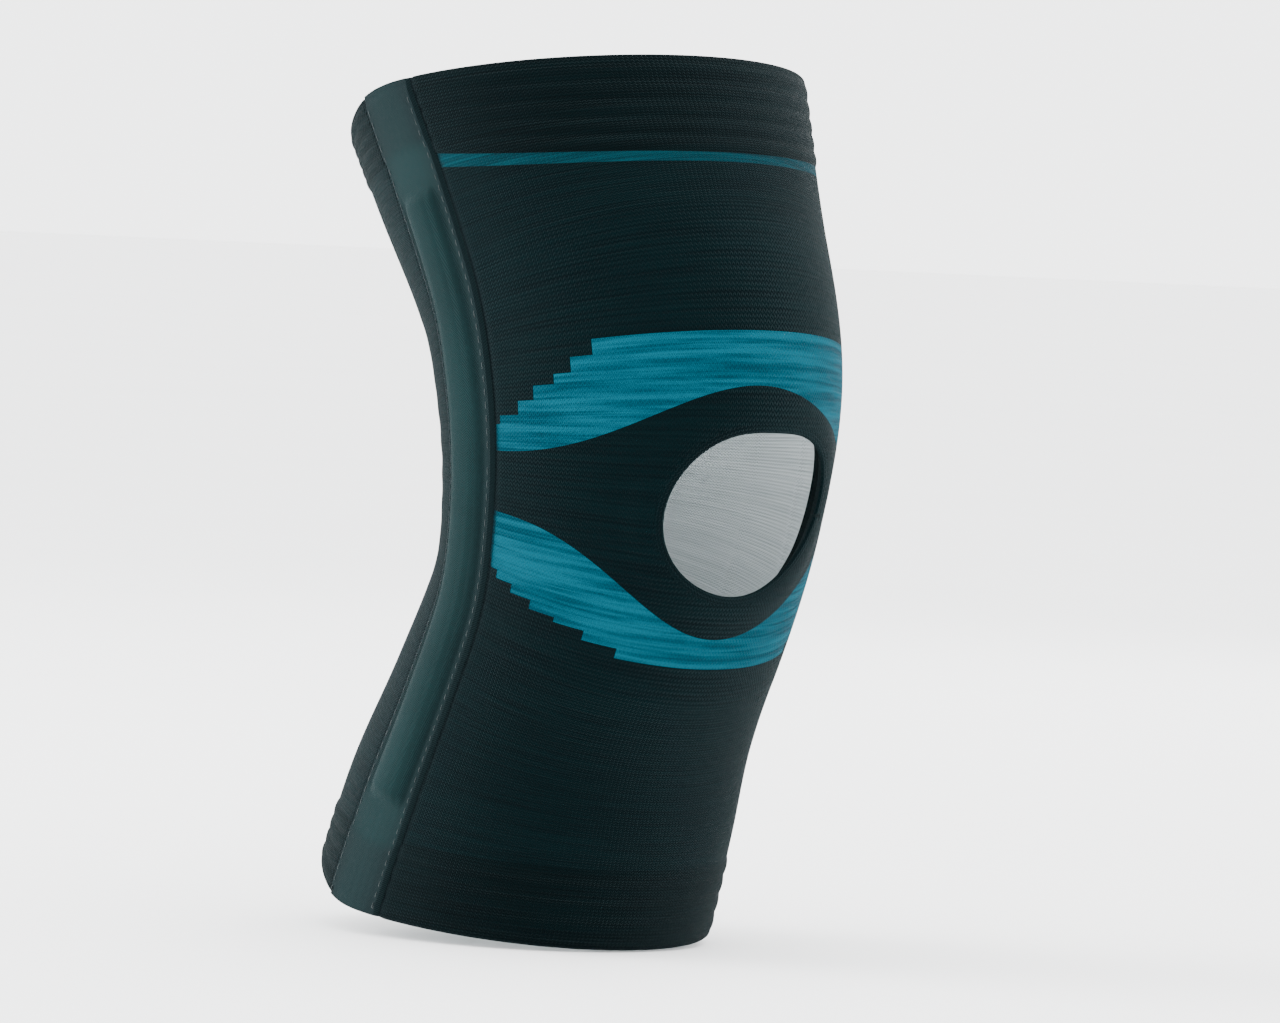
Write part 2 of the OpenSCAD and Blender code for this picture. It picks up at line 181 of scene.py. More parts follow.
# ---- meshes --------------------------------------------------------------------
def new_object(name, points, faces, slot, uv=None, shade=None):
    """A smooth shaded mesh object in the slot's material, from an n x 3 array and a list of faces."""
    mesh = bpy.data.meshes.new(name)
    mesh.from_pydata([tuple(p) for p in points], [], faces)
    mesh.update()
    mesh.polygons.foreach_set("use_smooth", np.ones(len(mesh.polygons), bool))
    corners = np.zeros(len(mesh.loops), np.int32)
    mesh.loops.foreach_get("vertex_index", corners)
    if uv is not None:
        uv = np.asarray(uv, np.float32)[corners]
        face = np.repeat(np.arange(len(faces)), [len(f) for f in faces])
        widest = np.zeros(len(faces))
        np.maximum.at(widest, face, uv[:, 0])
        uv[:, 0] += COLUMNS * (widest[face] - uv[:, 0] > COLUMNS / 2)
        mesh.uv_layers.new(name="UVMap").data.foreach_set("uv", uv.ravel())
    if shade is not None:
        values = mesh.attributes.new("shade", "FLOAT", "POINT").data
        values.foreach_set("value", np.asarray(shade, np.float32))
    obj = bpy.data.objects.new(name, mesh)
    bpy.context.scene.collection.objects.link(obj)
    obj.data.materials.append(MATERIALS[slot])
    return obj


def crease(obj):
    """Marks edges between faces that meet at more than 50 degrees, so they shade as corners."""
    bm = bmesh.new()
    bm.from_mesh(obj.data)
    for e in bm.edges:
        e.smooth = len(e.link_faces) != 2 or e.calc_face_angle(0) < math.radians(50)
    bm.to_mesh(obj.data)
    bm.free()


def outward(obj):
    """Turns the faces of a closed piece outwards."""
    bm = bmesh.new()
    bm.from_mesh(obj.data)
    bmesh.ops.recalc_face_normals(bm, faces=bm.faces)
    bm.to_mesh(obj.data)
    bm.free()


def ring_grid(rows, columns, closed_rows=False, closed_columns=False):
    """Faces of a grid of rows x columns points."""
    faces = []
    for r in range(rows if closed_rows else rows - 1):
        for c in range(columns if closed_columns else columns - 1):
            r2, c2 = (r + 1) % rows, (c + 1) % columns
            faces.append((r * columns + c, r * columns + c2, r2 * columns + c2, r2 * columns + c))
    return faces


def capped_tube(rows, columns):
    """Faces of a tube of rows rings of columns points each, with both ends closed."""
    faces = ring_grid(rows, columns, closed_columns=True)
    faces.append(tuple(range(columns))[::-1])
    faces.append(tuple((rows - 1) * columns + c for c in range(columns)))
    return faces


def bend_upper(obj):
    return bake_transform(obj)


def bend_lower(obj):
    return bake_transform(obj)


def cut_at_knee(obj, upper_name, lower_name):
    """Splits a closed piece at z = 0, closes both halves and bakes each one's transform."""
    halves = []
    for name, keep_upper in ((upper_name, True), (lower_name, False)):
        half = obj.copy()
        half.data = obj.data.copy()
        half.name = name
        half.data.name = name
        bpy.context.scene.collection.objects.link(half)
        bm = bmesh.new()
        bm.from_mesh(half.data)
        geometry = bm.verts[:] + bm.edges[:] + bm.faces[:]
        bmesh.ops.bisect_plane(
            bm, geom=geometry, dist=1e-7, plane_co=(0, 0, 0), plane_no=(0, 0, 1),
            clear_inner=keep_upper, clear_outer=not keep_upper)
        rim = [e for e in bm.edges if e.is_boundary]
        bmesh.ops.holes_fill(bm, edges=rim, sides=0)
        bm.to_mesh(half.data)
        bm.free()
        crease(half)
        halves.append(half)
    bpy.data.objects.remove(obj)
    bend_upper(halves[0])
    bend_lower(halves[1])
    return halves


# ---- materials -------------------------------------------------------------------
def srgb(r, g, b):
    """Linear colour from 8-bit screen values."""
    def channel(c):
        c = c / 255
        return c / 12.92 if c <= 0.04045 else ((c + 0.055) / 1.055) ** 2.4
    return (channel(r), channel(g), channel(b), 1.0)


class Nodes:
    """A material's node tree, with short calls for the nodes that the materials share."""

    def __init__(self, name):
        self.material = bpy.data.materials.new(name)
        self.material.use_nodes = True
        self.tree = self.material.node_tree
        self.bsdf = self.tree.nodes["Principled BSDF"]

    def node(self, kind, **settings):
        n = self.tree.nodes.new(kind)
        for key, value in settings.items():
            setattr(n, key, value)
        return n

    def feed(self, socket, value):
        if hasattr(value, "is_output"):
            self.tree.links.new(value, socket)
        else:
            socket.default_value = value

    def math(self, operation, a, b=0.0, c=0.0):
        n = self.node("ShaderNodeMath", operation=operation)
        for socket, value in zip(n.inputs, (a, b, c)):
            self.feed(socket, value)
        return n.outputs[0]

    def mix(self, factor, a, b):
        n = self.node("ShaderNodeMix", data_type="RGBA")
        self.feed(n.inputs["Factor"], factor)
        self.feed(n.inputs[6], a)
        self.feed(n.inputs[7], b)
        return n.outputs[2]

    def remap(self, value, lo, hi, to_lo=0.0, to_hi=1.0):
        n = self.node("ShaderNodeMapRange")
        for socket, v in zip(n.inputs, (value, lo, hi, to_lo, to_hi)):
            self.feed(socket, v)
        return n.outputs[0]

    def noise(self, vector, scale, detail=2.0, rough=0.5):
        n = self.node("ShaderNodeTexNoise")
        self.feed(n.inputs["Vector"], vector)
        n.inputs["Scale"].default_value = scale
        n.inputs["Detail"].default_value = detail
        n.inputs["Roughness"].default_value = rough
        return n.outputs["Fac"]

    def vector(self, x, y, z=0.0):
        n = self.node("ShaderNodeCombineXYZ")
        for socket, v in zip(n.inputs, (x, y, z)):
            self.feed(socket, v)
        return n.outputs[0]

    def uv(self):
        n = self.node("ShaderNodeSeparateXYZ")
        self.feed(n.inputs[0], self.node("ShaderNodeTexCoord").outputs["UV"])
        return n.outputs[0], n.outputs[1]

    def place(self):
        return self.node("ShaderNodeTexCoord").outputs["Object"]

    def shade(self):
        return self.node("ShaderNodeAttribute", attribute_name="shade").outputs["Fac"]

    def finish(self, colour, height, depth, rough=0.8, sheen=0.0, sheen_tint=(1, 1, 1, 1), shine=0.02):
        """Links the colour and a bump of that depth in metres."""
        bump = self.node("ShaderNodeBump")
        bump.inputs["Distance"].default_value = depth
        self.feed(bump.inputs["Height"], height)
        self.feed(self.bsdf.inputs["Normal"], bump.outputs[0])
        self.feed(self.bsdf.inputs["Base Color"], colour)
        self.feed(self.bsdf.inputs["Roughness"], rough)
        self.bsdf.inputs["Sheen Weight"].default_value = sheen
        self.bsdf.inputs["Sheen Roughness"].default_value = 0.45
        self.bsdf.inputs["Sheen Tint"].default_value = sheen_tint
        self.bsdf.inputs["Specular IOR Level"].default_value = shine
        return self.material


def knit_material(name, dark, light, streaks, sheen, tint, bump=0.00035):
    """Plain knit: V-shaped stitches in the UV's units, with uneven courses and yarn."""
    n = Nodes(name)
    u, v = n.uv()
    from_wale = n.math("ABSOLUTE", n.math("SUBTRACT", n.math("FRACT", u), 0.5))
    leg = n.math("MULTIPLY", from_wale, 2.0)
    phase = n.math("ADD", v, n.math("MULTIPLY", from_wale, 1.3))
    loop = n.math("SINE", n.math("MULTIPLY", phase, 2 * math.pi))
    loop = n.math("MULTIPLY_ADD", loop, 0.5, 0.5)
    valley = n.math("MULTIPLY", n.math("SUBTRACT", 1.0, leg), leg)
    stitch = n.math("MULTIPLY", loop, n.math("MULTIPLY_ADD", valley, 2.4, 0.4))
    turn = n.math("MULTIPLY", u, 2 * math.pi / COLUMNS)
    around = [n.math("MULTIPLY", n.math(f, turn), 1.6) for f in ("SINE", "COSINE")]
    course = n.noise(n.vector(*around, n.math("MULTIPLY", v, 0.9)), 1.0, 2.0, 0.6)
    course = n.remap(course, 0.36, 0.64)
    yarn = n.noise(n.vector(n.math("MULTIPLY", u, 0.8), n.math("MULTIPLY", v, 0.8)), 1.0, 2.0)
    broad = n.noise(n.place(), 22.0, 3.0)
    tone = n.math("ADD", n.math("MULTIPLY", course, streaks), n.math("MULTIPLY", stitch, 0.35))
    tone = n.math("ADD", tone, n.math("MULTIPLY_ADD", yarn, 0.3, -0.15))
    tone = n.math("ADD", tone, n.math("MULTIPLY_ADD", broad, 0.5, -0.2))
    colour = n.mix(tone, dark, light)
    colour = n.mix(n.shade(), colour, (0.002, 0.004, 0.005, 1))
    height = n.math("ADD", stitch, n.math("MULTIPLY", course, 0.5))
    rough = n.remap(yarn, 0.3, 0.7, 0.72, 0.9)
    return n.finish(colour, height, bump, rough, sheen, tint)


def woven_material(name, dark, light, sheen, tint):
    """Narrow woven tape: a fine herringbone in the UV's units, darkened by the painted shade in its shade
    attribute, which leaves the middle lighter as a painted highlight.
    """
    n = Nodes(name)
    u, v = n.uv()
    side = n.math("PINGPONG", u, 2.0)
    twill = n.math("SINE", n.math("MULTIPLY", n.math("ADD", n.math("MULTIPLY", side, 1.5), v), 2 * math.pi))
    twill = n.math("MULTIPLY_ADD", twill, 0.5, 0.5)
    yarn = n.noise(n.vector(n.math("MULTIPLY", u, 1.5), n.math("MULTIPLY", v, 0.5)), 1.0, 2.0)
    broad = n.noise(n.place(), 40.0, 3.0)
    tone = n.math("ADD", n.math("MULTIPLY", twill, 0.45), n.math("MULTIPLY_ADD", yarn, 0.6, -0.15))
    tone = n.math("ADD", tone, n.math("MULTIPLY_ADD", broad, 0.5, -0.2))
    colour = n.mix(tone, dark, light)
    colour = n.mix(n.shade(), colour, (0.003, 0.007, 0.008, 1))
    return n.finish(colour, twill, 0.0003, n.remap(yarn, 0.3, 0.7, 0.6, 0.85), sheen, tint)


def silicone_material():
    n = Nodes("silicone")
    cloud = n.noise(n.place(), 60.0, 3.0)
    grain = n.noise(n.place(), 900.0, 2.0)
    colour = n.mix(n.remap(cloud, 0.3, 0.7), srgb(128, 148, 150), srgb(160, 176, 178))
    n.bsdf.inputs["Subsurface Weight"].default_value = 0.2
    n.bsdf.inputs["Subsurface Radius"].default_value = (0.002, 0.002, 0.002)
    return n.finish(colour, grain, 0.00004, n.remap(cloud, 0.3, 0.7, 0.3, 0.5), shine=0.4)


def steel_material():
    n = Nodes("stay_steel")
    streak = n.noise(n.place(), 700.0, 3.0)
    n.bsdf.inputs["Metallic"].default_value = 1.0
    colour = n.mix(n.remap(streak, 0.3, 0.7), (0.42, 0.43, 0.44, 1), (0.66, 0.67, 0.68, 1))
    return n.finish(colour, streak, 0.00002, n.remap(streak, 0.3, 0.7, 0.22, 0.45), shine=0.5)


def plastic_material():
    n = Nodes("cap_plastic")
    grain = n.noise(n.place(), 1200.0, 2.0)
    colour = n.mix(n.noise(n.place(), 90.0), (0.78, 0.78, 0.75, 1), (0.88, 0.88, 0.86, 1))
    return n.finish(colour, grain, 0.00003, n.remap(grain, 0.3, 0.7, 0.35, 0.5), shine=0.4)


def label_material():
    n = Nodes("label")
    u, v = n.uv()
    warp, weft = (n.math("SINE", n.math("MULTIPLY", c, 6.0)) for c in (u, v))
    weave = n.math("MULTIPLY", warp, weft)
    colour = n.mix(n.math("MULTIPLY_ADD", weave, 0.3, 0.5), srgb(192, 200, 200), srgb(216, 221, 220))
    return n.finish(colour, weave, 0.00008, 0.5, 0.3)


def thread_material():
    n = Nodes("thread")
    ply = n.noise(n.place(), 1500.0, 2.0)
    colour = n.mix(n.remap(ply, 0.3, 0.7), srgb(1, 12, 14), srgb(10, 27, 29))
    return n.finish(colour, ply, 0.0001, 0.7, 0.3)


RIM_TINT = (0.55, 0.85, 0.9, 1)
BAND_TINT = (0.5, 0.95, 1, 1)
MATERIALS = {
    "knit": knit_material("knit", srgb(0, 5, 7), srgb(1, 16, 18), 0.35, 0.03, RIM_TINT),
    "cuff_knit": knit_material("cuff_knit", srgb(0, 3, 4), srgb(1, 12, 14), 0.35, 0.03, RIM_TINT),
    "band_knit": knit_material("band_knit", srgb(0, 36, 47), srgb(0, 70, 84), 0.7, 0.02, BAND_TINT, 0.0004),
    "stripe_knit": knit_material("stripe_knit", srgb(1, 24, 30), srgb(6, 50, 58), 0.5, 0.02, BAND_TINT),
    "lining": knit_material("lining", srgb(184, 193, 195), srgb(216, 222, 223), 0.5, 0.1, (1, 1, 1, 1)),
    "tape": woven_material("tape", srgb(4, 18, 19), srgb(18, 42, 43), 0.036, RIM_TINT),
    "silicone": silicone_material(),
    "stay_steel": steel_material(),
    "cap_plastic": plastic_material(),
    "label": label_material(),
    "thread": thread_material(),
}


def line_inside(obj, first, last):
    """Gives the faces from first up to last the lining's material."""
    obj.data.materials.append(MATERIALS["lining"])
    inside = np.zeros(len(obj.data.polygons), np.int32)
    inside[first:last] = 1
    obj.data.polygons.foreach_set("material_index", inside)


# ---- the knitted sleeve ------------------------------------------------------------
def tape_distance(theta, s):
    """Distance from the nearer edge of the nearer side tape, negative under the tape."""
    across = np.radians(np.abs(np.abs(theta) - TAPE_THETA)) * half_width(s)
    return across - TAPE_HALF


def tape_dip(theta, s):
    """The knit is pulled in along the tapes' seams."""
    return -0.9 * np.exp(-(tape_distance(theta, s) / 1.3) ** 2)


def tape_shadow(theta, s):
    """How much darker the knit is along the tapes' seams."""
    return 0.85 * np.exp(-(tape_distance(theta, s) / 1.5) ** 2)


def wale_relief(theta):
    """Fine ribs of the knit, one to two wales."""
    return 0.05 * np.cos(np.radians(theta) * COLUMNS / 2)


def on_tape(side, across, s):
    """theta of points across millimetres from the middle of a tape."""
    return side * (TAPE_THETA + np.degrees(across / half_width(s)))


def over_cuff(s, run):
    """0 on the plain knit, 1 over a cuff, with a slope of length run between them."""
    return smooth((s - cuff_base(90)) / run) + smooth((calf_cuff_base(90) - s) / run)


def sleeve_lift(theta, s):
    """Relief of the knit: a swelling over the patella ring, creases behind the knee, dips at the tapes."""
    edge = opening_distance(theta, s)
    ring = 1.1 * smooth((edge + 4) / 8) * smooth((15 - edge) / 9)
    back = smooth((np.abs(theta) - 112) / 40)
    knee = np.exp(-((s + 2) / 30) ** 2)
    wander = 3.0 * np.sin(np.radians(theta) * 3 + 0.7) + 1.5 * np.sin(np.radians(theta) * 7)
    folds = np.sin((s + wander) * 2 * math.pi / 13.0)
    creases = 0.55 * back * knee * folds
    return ring + tape_dip(theta, s) + creases + wale_relief(theta)


def band_angle(theta):
    """Angle from the middle of the support bands."""
    return np.abs(theta + 2)


def upper_band_edge(theta):
    """Inner edge of the upper band: an arch over the opening."""
    return 1.0 + 15.6 * np.cos(np.radians(np.minimum(band_angle(theta), 80) * 1.12)) ** 2.6


def lower_band_edge(theta):
    """Inner edge of the lower band: a hanging curve under the opening."""
    return -16 - 22.5 * np.cos(np.radians(np.minimum(band_angle(theta), 80) * 1.05)) ** 3


def in_upper_band(theta, s):
    """Below the upper band's outer edge, which comes down in steps towards its ends."""
    a = band_angle(theta)
    outer = 27.2 - 3.2 * np.clip(np.round((a - 44.5) / 5.7), 0, 6)
    return (a < BAND_END) & (s < outer)


def in_lower_band(theta, s):
    """Above the lower band's outer edge, which rises in steps towards its ends."""
    outer = np.full_like(s, -45.8)
    steps = 8
    for step in range(1, steps):
        outer = outer + 2.2 * (np.abs(theta - 5) > 87 - 62 * (1 - step / steps) ** 1.6)
    return (band_angle(theta) < BAND_END) & (s > outer)


def half_rows(side_s, base):
    """s of the mesh rows from the knee centre to a cuff. They follow the cuff's edge near it."""
    share = np.linspace(0, 1, round(abs(side_s) / ROW) + 1)[:, None]
    return share * side_s + smooth((share - 0.4) / 0.6) * (base(WALES)[None] - side_s)


def sleeve_points():
    """theta and s of the sleeve's grid, and the row at the knee centre."""
    upper = half_rows(CUFF_SIDE_S, cuff_base)
    lower = half_rows(CALF_CUFF_SIDE_S, calf_cuff_base)
    s = np.concatenate([lower[:0:-1], upper])
    return np.broadcast_to(WALES, s.shape).copy(), s, len(lower) - 1


def snap(edge):
    """Moves in each column the point nearest to a curve onto it; returns those points' rows."""
    columns = np.arange(COLUMNS)
    curve = edge(WALES)
    row = np.abs(S - curve).argmin(0)
    S[row, columns] = curve
    return row


THETA, S, KNEE_ROW = sleeve_points()
UPPER_EDGE = snap(upper_band_edge)
LOWER_EDGE = snap(lower_band_edge)
OUTER = skin(THETA, S, sleeve_lift(THETA, S))
INNER = skin(THETA, S, sleeve_lift(THETA, S) - KNIT_T)
SHADE = tape_shadow(THETA, S)


def triangles():
    """The grid's cells as pairs of triangles of (row, column), split so that no triangle
    lies on both sides of a band's inner edge. Returns them and their middles in theta and s."""
    rows, columns = THETA.shape
    r, c = np.meshgrid(np.arange(rows - 1), np.arange(columns), indexing="ij")
    rising = np.zeros(r.shape, bool)
    for edge in (UPPER_EDGE, LOWER_EDGE):
        rising |= (edge[c] == r) & (edge[(c + 1) % columns] == r + 1)
    low_left = np.stack([r, c], -1)
    low_right, high_right, high_left = low_left + (0, 1), low_left + (1, 1), low_left + (1, 0)
    split = rising[..., None]
    first = np.stack([low_left, low_right, np.where(split, high_right, high_left)], -2)
    second = np.stack([np.where(split, low_left, low_right), high_right, high_left], -2)
    cells = np.stack([first, second], 2).reshape(-1, 3, 2)
    wrapped = cells[..., 1] % columns
    theta = THETA[cells[..., 0], wrapped].copy()
    theta[cells[..., 1] == columns] += 360
    return cells[..., 0] * columns + wrapped, theta.mean(-1), S[cells[..., 0], wrapped].mean(-1)


TRIANGLES, MID_THETA, MID_S = triangles()
CELL_THETA, CELL_S = (m.reshape(-1, 2).mean(1).repeat(2) for m in (MID_THETA, MID_S))


def side_of(edge):
    """True for triangles above a band's inner edge."""
    row, column = np.divmod(TRIANGLES, COLUMNS)
    return (row - edge[column]).sum(1) > 0


def zone(name, mask, slot, nodes):
    """Closed piece of the sleeve: the triangles in mask, with outer face, inner face and edges."""
    count = THETA.size
    outer = TRIANGLES[mask]
    inner = outer[:, ::-1] + count
    edges = np.concatenate([outer[:, [0, 1]], outer[:, [1, 2]], outer[:, [2, 0]]])
    codes, back = edges[:, 0] * count + edges[:, 1], edges[:, 1] * count + edges[:, 0]
    rim = edges[~np.isin(codes, back)]
    faces = [tuple(f) for f in np.concatenate([outer, inner]).tolist()]
    faces += [(b, a, a + count, b + count) for a, b in rim.tolist()]
    used = np.unique(np.concatenate([outer.ravel(), inner.ravel()]))
    renumber = np.full(2 * count, -1)
    renumber[used] = np.arange(len(used))
    points = np.concatenate([OUTER.reshape(-1, 3), INNER.reshape(-1, 3)])[used]
    column = np.arange(count) % COLUMNS
    uv = np.stack([column, S.ravel() / COURSE], -1)
    uv = np.concatenate([uv, uv])[used]
    shade = np.concatenate([SHADE.ravel(), np.zeros(count)])[used]
    obj = new_object(name, points, [tuple(renumber[list(f)].tolist()) for f in faces], slot, uv, shade)
    line_inside(obj, len(outer), 2 * len(outer))
    crease(obj)
    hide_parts(*nodes)
    return obj


STRIPE_ROWS = 4                                  # the stripe's courses, right under the cuff


def sleeve():
    """The sleeve's colour zones, divided at the knee centre and under the side tapes."""
    row = (TRIANGLES // COLUMNS).min(1)
    whole = opening_distance(CELL_THETA, CELL_S) > HEM_W / 2
    upper = row >= KNEE_ROW
    front = np.abs((CELL_THETA + 180) % 360 - 180) < TAPE_THETA
    band_up = upper & side_of(UPPER_EDGE) & in_upper_band(CELL_THETA, CELL_S)
    band_low = ~upper & ~side_of(LOWER_EDGE) & in_lower_band(CELL_THETA, CELL_S)
    stripe = front & (row >= THETA.shape[0] - 1 - STRIPE_ROWS)
    plain = whole & ~band_up & ~band_low & ~stripe
    front_above = ("thigh_front_panel", "knee_front_panel")
    back_above = ("thigh_back_panel", "popliteal_upper_panel", "knee_back_panel")
    back_below = ("calf_back_panel", "popliteal_lower_panel")
    parts = [
        ("thigh_sleeve_front", plain & upper & front, "knit", front_above, bend_upper),
        ("thigh_sleeve_back", plain & upper & ~front, "knit", back_above, bend_upper),
        ("calf_sleeve_front", plain & ~upper & front, "knit", ("calf_front_panel",), bend_lower),
        ("calf_sleeve_back", plain & ~upper & ~front, "knit", back_below, bend_lower),
        ("upper_support_band_knit", band_up & whole, "band_knit", ("upper_support_band",), bend_upper),
        ("lower_support_band_knit", band_low & whole, "band_knit", ("lower_support_band",), bend_lower),
        ("thigh_stripe_knit", stripe, "stripe_knit", ("thigh_stripe",), bend_upper),
    ]
    for name, mask, slot, nodes, bend in parts:
        bend(zone(name, mask, slot, nodes))


# ---- cuffs -------------------------------------------------------------------------
def cuff(name, node, base, rim, ribs, bend):
    """Ribbed cuff from its base line to a rolled rim, with its inner face."""
    t_out = np.linspace(0, 1, 44)
    roll = np.linspace(0, np.pi, 9)[1:-1]
    thick = KNIT_T + 0.5
    step, rib = 0.15, 0.42                       # heights over the plain knit
    ridges = rib * np.abs(np.sin(math.pi * ribs * t_out)) * smooth((1 - t_out) / 0.1)
    path = [(t, lift, 0) for t, lift in zip(t_out, step * smooth(t_out / 0.06) + ridges)]
    path += [(1, step - thick / 2 + thick / 2 * math.cos(a), math.sin(a)) for a in roll]
    path += [(t, step - thick, 0) for t in t_out[::-1]]
    start, end = base(WALES), rim(WALES)
    rows = []
    for t, lift, over in path:
        s = start + (end - start) * t + np.copysign(1.2 * over, end)
        rows.append((WALES, s, lift + tape_dip(WALES, s) + wale_relief(WALES)))
    theta, s, lift = (np.stack(a) for a in zip(*rows))
    outer_rows = len(t_out) + len(roll)
    faces = ring_grid(len(path), COLUMNS, closed_rows=True, closed_columns=True)
    uv = np.stack([np.broadcast_to(np.arange(COLUMNS), s.shape).ravel(), s.ravel() / COURSE], -1)
    shade = tape_shadow(theta, s)
    shade[outer_rows:] = 0
    obj = new_object(name, skin(theta, s, lift).reshape(-1, 3), faces, "cuff_knit", uv, shade.ravel())
    outward(obj)
    line_inside(obj, outer_rows * COLUMNS, (len(path) - 1) * COLUMNS)
    crease(obj)
    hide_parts(node)
    bend(obj)


# ---- side tapes with their stay pockets ---------------------------------------------
RIB_TOP_S = 86                                   # the raised pocket ends just under the stripe
RIB_LOW_S = -121
RIB_HALF = 8.4                                   # half of the pocket's width
RIB_H = 3.2                                      # its height over the tape
STAY_LIFT = 2.3                                  # height of a stay's middle over the skin
CUFF_STEP = 0.45                                 # the tape lies this much higher over the cuffs


def rib_share(s):
    """How far the pocket is raised at s, 0 to 1."""
    return smooth((RIB_TOP_S - s) / 7) * smooth((s - RIB_LOW_S) / 7)


def side_tape(side, name):
    """Tape from rim to rim on one side, closed underneath. side is -1 lateral, 1 medial."""
    s = np.linspace(LOW_S - 0.5, TOP_S + 0.5, 250)
    across = TAPE_HALF * np.sin(np.linspace(-1, 1, 45) * math.pi / 2)
    edge = smooth((TAPE_HALF - np.abs(across)) / 0.9)
    dome = np.clip(1 - (np.abs(across) / RIB_HALF) ** 2.2, 0, 1) ** 0.9
    rise = rib_share(s)[:, None]
    valley = -0.35 * np.exp(-((np.abs(across) - RIB_HALF - 0.7) / 0.8) ** 2)
    top = -0.35 + 1.35 * edge + (RIB_H * dome + valley) * rise
    under = np.full_like(top, -0.9)
    away_from_rim = smooth((TOP_S - s) / 4) * smooth((s - LOW_S) / 4)
    top = top + (CUFF_STEP * over_cuff(s, 3) - 0.6 * (1 - away_from_rim))[:, None]
    theta = on_tape(side, across[None], s[:, None])
    s_grid = s[:, None] + (thigh_rim(theta) - TOP_S) * smooth((s[:, None] - 60) / 50)
    s_grid = s_grid + (calf_rim(theta) - LOW_S) * smooth((-90 - s[:, None]) / 50)
    rows = np.concatenate([skin(theta, s_grid, top), skin(theta, s_grid, under)[:, ::-1]], 1)
    columns = rows.shape[1]
    faces = capped_tube(len(s), columns)
    u = np.concatenate([across, across[::-1]]) / 0.8
    uv = np.stack([np.broadcast_to(u, (len(s), columns)).ravel(), np.repeat(s, columns) / 0.8], -1)
    # Painted shade along the seamed edges of the tape, growing towards both edges so that its middle stays
    # lighter as a painted highlight.
    painted_edge_shade = 0.8 * np.exp(-((TAPE_HALF - np.abs(across)) / 1.2) ** 2) + 0.35 * (across / TAPE_HALF) ** 2
    # Painted shade in the grooves beside the raised pocket; the tape is also made darker over the cuffs.
    pocket_groove_shade = 0.5 * smooth((np.abs(across) - RIB_HALF + 3) / 4.5) * (0.35 + 0.65 * rise)
    dark = np.clip(painted_edge_shade + pocket_groove_shade + 0.5 * over_cuff(s, 4)[:, None], 0, 0.9)
    shade = np.concatenate([dark, dark[:, ::-1]], 1)
    obj = new_object(name, rows.reshape(-1, 3), faces, "tape", uv, shade.ravel())
    outward(obj)
    upper, lower = cut_at_knee(obj, name + "_upper", name + "_lower")
    prefix = "lateral" if side < 0 else "medial"
    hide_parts(prefix + "_tape_thigh", prefix + "_tape_knee")
    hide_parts(prefix + "_tape_calf")


def coil(name, side, s0, s1, nodes, bend):
    """Flat spiral stay: round wire wound to an oval, laid along the tape's middle."""
    pitch, per_turn, wire, wire_sides = 3.0, 20, 0.5, 6
    count = int((s1 - s0) / pitch) * per_turn
    a = np.arange(count + 1) * 2 * math.pi / per_turn
    s = s0 + pitch * np.arange(count + 1) / per_turn
    across, lift = 3.6 * np.sin(a), STAY_LIFT + 0.95 * np.cos(a)
    theta = on_tape(side, across, s)
    line = skin(theta, s, lift)
    ahead = np.gradient(line, axis=0)
    ahead /= np.linalg.norm(ahead, axis=1)[:, None]
    outwards = skin(theta, s, lift + 1) - line
    outwards /= np.linalg.norm(outwards, axis=1)[:, None]
    sideways = np.cross(ahead, outwards)
    sideways /= np.linalg.norm(sideways, axis=1)[:, None]
    outwards = np.cross(sideways, ahead)
    corners = np.arange(wire_sides) * 2 * math.pi / wire_sides
    ring = [line + wire * MM * (math.cos(c) * sideways + math.sin(c) * outwards) for c in corners]
    points = np.stack(ring, 1).reshape(-1, 3)
    obj = new_object(name, points, capped_tube(count + 1, wire_sides), "stay_steel")
    outward(obj)
    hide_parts(*nodes)
    bend(obj)


def stay_cap(name, side, s0, s1, node, bend):
    """Moulded cap with a rounded nose over a stay's end."""
    steps = np.linspace(0, 1, 12)
    a = np.arange(28) * 2 * math.pi / 28
    rows = []
    for t in steps:
        grow = math.sqrt(max(0.04, 1 - max(0, (t - 0.45) / 0.56) ** 2)) * (0.9 if t == 0 else 1)
        across = 4.1 * grow * np.sin(a)
        lift = STAY_LIFT + 1.5 * grow * np.cos(a)
        s = np.full_like(a, s0 + (s1 - s0) * t)
        rows.append(skin(on_tape(side, across, s), s, lift))
    obj = new_object(name, np.concatenate(rows), capped_tube(len(steps), len(a)), "cap_plastic")
    outward(obj)
    crease(obj)
    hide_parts(node)
    bend(obj)


def stays():
    for side, word in ((-1, "lateral"), (1, "medial")):
        low, high = RIB_LOW_S + 10, RIB_TOP_S - 10
        coil(word + "_stay_upper", side, 0.8, high, (word + "_stay_thigh", word + "_stay_knee"), bend_upper)
        coil(word + "_stay_lower", side, low, -0.8, (word + "_stay_calf",), bend_lower)
        stay_cap(word + "_stay_cap_top", side, high - 3, high + 2.5, word + "_stay_top_cap", bend_upper)
        stay_cap(word + "_stay_cap_bottom", side, low + 3, low - 2.5, word + "_stay_bottom_cap", bend_lower)


